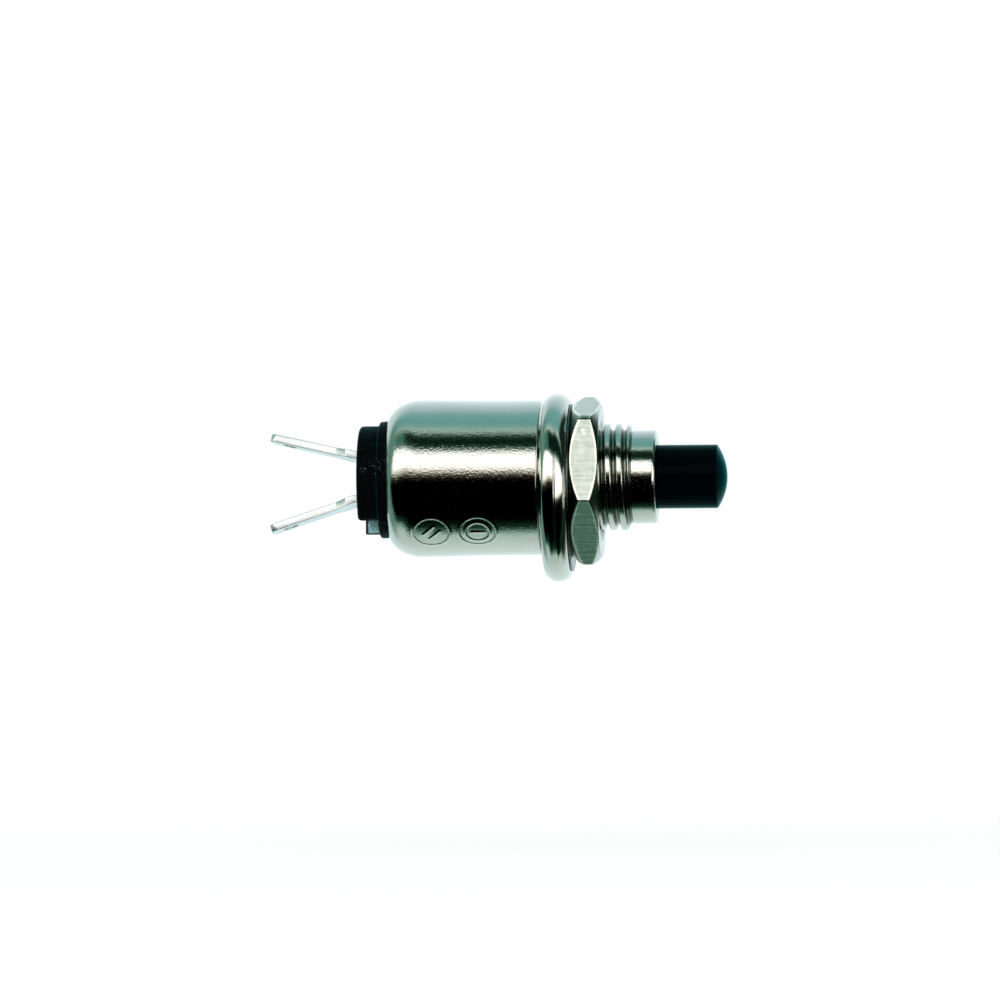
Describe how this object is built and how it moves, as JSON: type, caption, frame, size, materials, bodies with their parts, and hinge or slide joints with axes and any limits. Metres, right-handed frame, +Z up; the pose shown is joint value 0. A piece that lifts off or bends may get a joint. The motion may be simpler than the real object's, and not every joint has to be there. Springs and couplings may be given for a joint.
{
  "type": "miniature push button",
  "caption": "Panel-mount push button: round metal can, threaded bush with nut and loose rings, domed black plunger, and bent solder lugs on a moulded base.",
  "frame": {"origin": "where the button's axis meets the front face of the can, the face that seats behind the panel", "axes": "+X along the button's axis and out of its domed end, +Z up, with the loose rings hanging down"},
  "size_m": [0.0302, 0.0124, 0.0123],
  "materials": {
    "nickel_can": "satin nickel plate on drawn brass",
    "nickel_bush": "bright nickel plate on turned brass",
    "nickel_nut": "nickel plate over machined flats",
    "ring_plate": "bright nickel plate on a rolled rim",
    "washer_steel": "darkened spring steel",
    "phenolic": "black moulded phenolic with a fine speckle",
    "button_plastic": "smooth black moulding",
    "tinned_strip": "tinned brass strip",
    "silver": "silver contact rivet",
    "bridge_brass": "blanked brass",
    "spring_steel": "drawn spring wire",
    "fish_paper": "rolled insulating sleeve"
  },
  "bodies": {
    "housing": {"can": "nickel_can", "threaded_bush": "nickel_bush", "hex_nut": "nickel_nut", "dress_ring": "ring_plate", "lock_washer": "washer_steel", "base": "phenolic", "terminal_upper": "tinned_strip", "terminal_lower": "tinned_strip", "fixed_contact_upper": "silver", "fixed_contact_lower": "silver", "return_spring": "spring_steel", "insulating_sleeve": "fish_paper"},
    "plunger": {"button": "button_plastic", "contact_spring": "spring_steel", "contact_bridge": "bridge_brass", "bridge_contact_upper": "silver", "bridge_contact_lower": "silver", "retaining_ring": "spring_steel"}
  },
  "joints": [
    {"name": "button_press", "type": "slide", "parent": "housing", "child": "plunger", "axis": [-1, 0, 0], "range_m": [0, 0.0016], "stiffness_N_per_m": 700, "springref_m": -0.0011, "deforming": ["return_spring"]}
  ]
}
